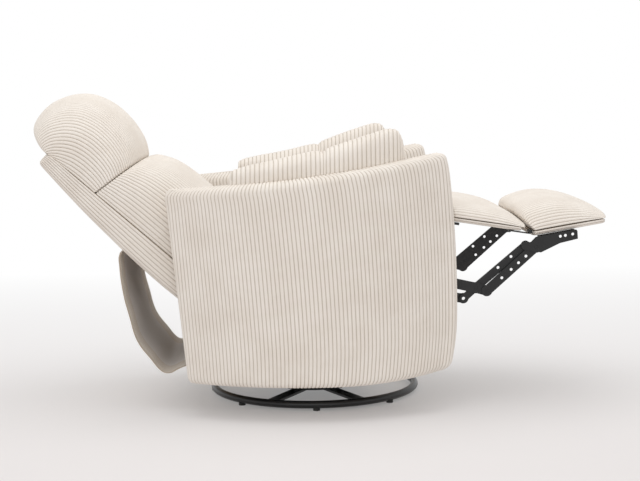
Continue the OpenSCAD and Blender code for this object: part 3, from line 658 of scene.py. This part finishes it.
lining, lining_shader = finish_of("cotton twill lining, warm grey", Roughness=0.95, Sheen_Weight=0.2,
                                  Specular_IOR_Level=0.15)
lining_place = add(lining, "ShaderNodeTexCoord").outputs["Object"]
thread = add(lining, "ShaderNodeTexNoise", [(lining_place, "Vector")], Scale=1000 / THREAD_MM, Detail=4.0)
add(lining, "ShaderNodeValToRGB", [(thread.outputs["Fac"], "Fac")],
    [("Color", lining_shader.inputs["Base Color"])], [(0.3, "#e0dad5"), (0.7, "#eae5e1")])
add(lining, "ShaderNodeBump", [(thread.outputs["Fac"], "Height")],
    [("Normal", lining_shader.inputs["Normal"])], Distance=0.3 / 1000, Strength=0.5)
drop.data.materials.append(lining)

layers = drop.modifiers.new("lining", "SOLIDIFY")
layers.thickness = DROP_THICK
layers.offset = 0
layers.material_offset = 1
layers.material_offset_rim = 0
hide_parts("rear_drop_cloth")
apply_modifiers(drop)
for face in drop.data.polygons:
    if abs(face.center.y) > DROP_HALF - DROP_FACING:
        face.material_index = 0
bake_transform(drop)


# ---- Footrest linkage ----
# Stamped steel links, riveted in pairs on each side, and the hinges between
# the pads. Satin black electrocoat gives them a soft, dark gleam.

link_coat = black_skin("stamped steel link, satin black electrocoat", "#0e0f10", "#191a1b", 0.4, 1.0, 0.04)
for side_name in ("left", "right"):
    dress(link_coat, "link_steel", *(part + side_name for part in (
        "front_rocker_", "back_rocker_", "carrier_link_", "control_link_", "footrest_bracket_")))
dress(link_coat, "link_steel", "pad_hinges", "hinge_pins")


# ---- Front footrest pad and its board ----
# A crowned pad on a flat padded board, both in corduroy with wales running
# forward. The board is screwed to the two brackets.

FRONT_ORIGIN = (551, 435)         # rear lower edge of the board, from the swivel and the floor
FRONT_SLOPE = math.radians(9.46)
BOARD_ROWS, FRONT_ROWS = 26, 34   # rows of the boards' grids and of the pad's


def on_front_pad(points):
    """Points as (forward along the board, above its underside) in millimetres."""
    return tilted(points, FRONT_ORIGIN, FRONT_SLOPE)


def board_cover(name, place, start, length, thick, half):
    """A thin padded board, length long, with a rounded front edge. Its foot lies
    on top, under the pad, so that the wales run along its underside."""
    middle, nose, tip = start + length * 0.5, start + length - thick * 0.5, start + length - 2
    low = [(start, 0.6), (middle, 0.3), (nose, 0.6), (tip, thick * 0.34)]
    high = [(start, thick), (middle, thick), (nose, thick), (tip, thick * 0.7)]
    return cover(name, place(even(np.array(low), BOARD_ROWS)), place(even(np.array(high), BOARD_ROWS)),
                 half, width_power=14, height_power=6)


front_board = board_cover("front_board_cover", on_front_pad, start=8.6, length=193.4, thick=16,
                          half=0.2595)
wale_cloth(front_board, ivory_cord)
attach(front_board, "footrest")
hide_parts("front_footrest_board")

front_top = [(-15, 55), (-8, 76), (22, 85), (64, 89), (106, 83), (141, 71), (168, 57), (190, 43),
             (203, 32), (207, 25)]
front_foot = np.linspace((12, 14.8), (202, 14.8), FRONT_ROWS + 1)
front_pad = cover("front_footrest_cover", on_front_pad(smooth_line(front_top, FRONT_ROWS)),
                  on_front_pad(front_foot), 0.260, width_power=3.4, height_power=1.9)
plump(front_pad, reach=0.006, pressure=3.0)
wale_cloth(front_pad, ivory_cord)
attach(front_pad, "footrest")
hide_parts("front_footrest_pad")


# ---- Middle footrest pad and its board ----
# The pad that bridges the gap to the seat. It is thinner than the front one,
# on its own thin board, and folds on two hinges beside the brackets.

MIDDLE_EDGE = (552, 450)          # front end of the board, from the swivel and the floor
MIDDLE_LENGTH = 204               # from its rear end to that edge
MIDDLE_DEPTH = 4                  # from its underside up to that edge
MIDDLE_SLOPE = math.radians(8.9)
MIDDLE_ROWS = 30                  # rows of the pad's grid


def on_middle_pad(points):
    """Points as (forward from the rear end, above the underside) in millimetres."""
    from_edge = np.array(points, float) - np.array([MIDDLE_LENGTH, MIDDLE_DEPTH])
    return tilted(from_edge, MIDDLE_EDGE, -MIDDLE_SLOPE)


middle_board = board_cover("middle_board_cover", on_middle_pad, start=0.4, length=186.5, thick=14,
                           half=0.2575)
wale_cloth(middle_board, ivory_cord)
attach(middle_board, "middle_pad")
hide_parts("middle_footrest_board")

middle_top = [(-2, 44), (2, 54), (30, 56), (77, 55), (112, 52), (140, 47), (165, 38), (185, 27), (196, 20)]
middle_foot = np.linspace((2, 12), (193, 12), MIDDLE_ROWS + 1)
middle_pad = cover("middle_footrest_cover", on_middle_pad(smooth_line(middle_top, MIDDLE_ROWS)),
                   on_middle_pad(middle_foot), 0.258, width_power=4.0, height_power=2.2)
plump(middle_pad, reach=0.006, pressure=3.0)
wale_cloth(middle_pad, ivory_cord)
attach(middle_pad, "middle_pad")
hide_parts("middle_footrest_pad")


# ---- Floor and backdrop ----
# A seamless pale studio sweep: a matte painted floor that fades into a white
# backdrop behind the chair. The fade is a painted glow of the floor's own. It
# starts in front of the chair, lightens the chair's shadow, and grows with depth
# to pure white. It isn't part of the chair.

FLOOR_HALF = 30.0                  # metres from the middle to each edge
FADE_START, FADE_END = -0.9, 2.6   # depths at which the floor's painted white glow starts and where it is full

floor_mesh = bpy.data.meshes.new("studio_floor")
bm = bmesh.new()
bmesh.ops.create_grid(bm, x_segments=1, y_segments=1, size=FLOOR_HALF)
bm.to_mesh(floor_mesh)
bm.free()
floor = bpy.data.objects.new("studio_floor", floor_mesh)
bpy.context.scene.collection.objects.link(floor)
floor_paint, floor_shader = finish_of("painted studio floor, matte", Roughness=0.9,
                                      Base_Color=colour("#e3dfde"), Specular_IOR_Level=0.15)
floor_place = add(floor_paint, "ShaderNodeTexCoord").outputs["Object"]
floor_depth = add(floor_paint, "ShaderNodeSeparateXYZ", [(floor_place, "Vector")]).outputs["Y"]
fade = add(floor_paint, "ShaderNodeMapRange", [(floor_depth, "Value")],
           From_Min=FADE_START, From_Max=FADE_END)
# The floor's own white glow: painted light, which also lightens the chair's shadow.
floor_glow = add(floor_paint, "ShaderNodeEmission", Strength=1.0)
add(floor_paint, "ShaderNodeMixShader",
    [(fade.outputs["Result"], "Fac"), (floor_shader.outputs["BSDF"], 1), (floor_glow.outputs["Emission"], 2)],
    [("Shader", floor_paint.node_tree.nodes["Material Output"].inputs["Surface"])])
floor.data.materials.append(floor_paint)


# ---- Light and camera ----
# A pale room, one large soft lamp overhead and a wide one at the front, before
# a white backdrop. The camera stands low at the chair's right side, with a
# long lens.

WHITE = (1, 1, 1, 1)
ROOM_LIGHT = 0.74                         # strength of the light from all round
LAMP_AIM = (0, 0, 0.4)                    # the middle of the chair
LENS, FILM_WIDTH = 80.28, 36.0            # in millimetres
YAW, PITCH, ROLL = 1.12, 6.01, 0.78       # the camera's turn, tilt down and lean, in degrees

world = bpy.data.worlds.new("studio")
bpy.context.scene.world = world
world.use_nodes = True
room = world.node_tree.nodes["Background"]
room.inputs["Color"].default_value = WHITE
room.inputs["Strength"].default_value = ROOM_LIGHT
backdrop = add(world, "ShaderNodeBackground", Color=WHITE, Strength=1.0)
rays = add(world, "ShaderNodeLightPath")
add(world, "ShaderNodeMixShader",
    [(rays.outputs["Is Camera Ray"], "Fac"), (room.outputs["Background"], 1),
     (backdrop.outputs["Background"], 2)],
    [("Shader", world.node_tree.nodes["World Output"].inputs["Surface"])])


def lamp(name, place, size, power):
    """A soft rectangular lamp that shines on the middle of the chair."""
    light = bpy.data.lights.new(name, "AREA")
    light.shape = "RECTANGLE"
    light.size, light.size_y = size
    light.energy = power
    holder = bpy.data.objects.new(name, light)
    holder.location = place
    direction = Vector(LAMP_AIM) - Vector(place)
    holder.rotation_euler = direction.to_track_quat("-Z", "Y").to_euler()
    bpy.context.scene.collection.objects.link(holder)


lamp("overhead", place=(0.1, -0.3, 3.0), size=(3.2, 3.2), power=36)
lamp("front", place=(-0.6, -3.4, 1.9), size=(3.0, 2.0), power=20)

camera = bpy.data.objects.new("camera", bpy.data.cameras.new("camera"))
bpy.context.scene.collection.objects.link(camera)
camera.data.sensor_width = FILM_WIDTH
camera.data.lens = LENS
camera.data.clip_end = 100
camera_place = Vector((swivel_x - 0.0557, -3.866, 0.816))
yaw, pitch, roll = (math.radians(d) for d in (YAW, PITCH, ROLL))
ahead = np.array([math.sin(yaw) * math.cos(pitch), math.cos(yaw) * math.cos(pitch), -math.sin(pitch)])
level = np.array([math.cos(yaw), -math.sin(yaw), 0])
above = np.cross(level, ahead)
right = math.cos(roll) * level - math.sin(roll) * above
up = math.sin(roll) * level + math.cos(roll) * above
turn = Matrix([[right[k], up[k], -ahead[k]] for k in range(3)]).to_4x4()
camera.matrix_world = Matrix.Translation(camera_place) @ turn
bpy.context.scene.camera = camera
bpy.context.scene.view_settings.view_transform = "Standard"
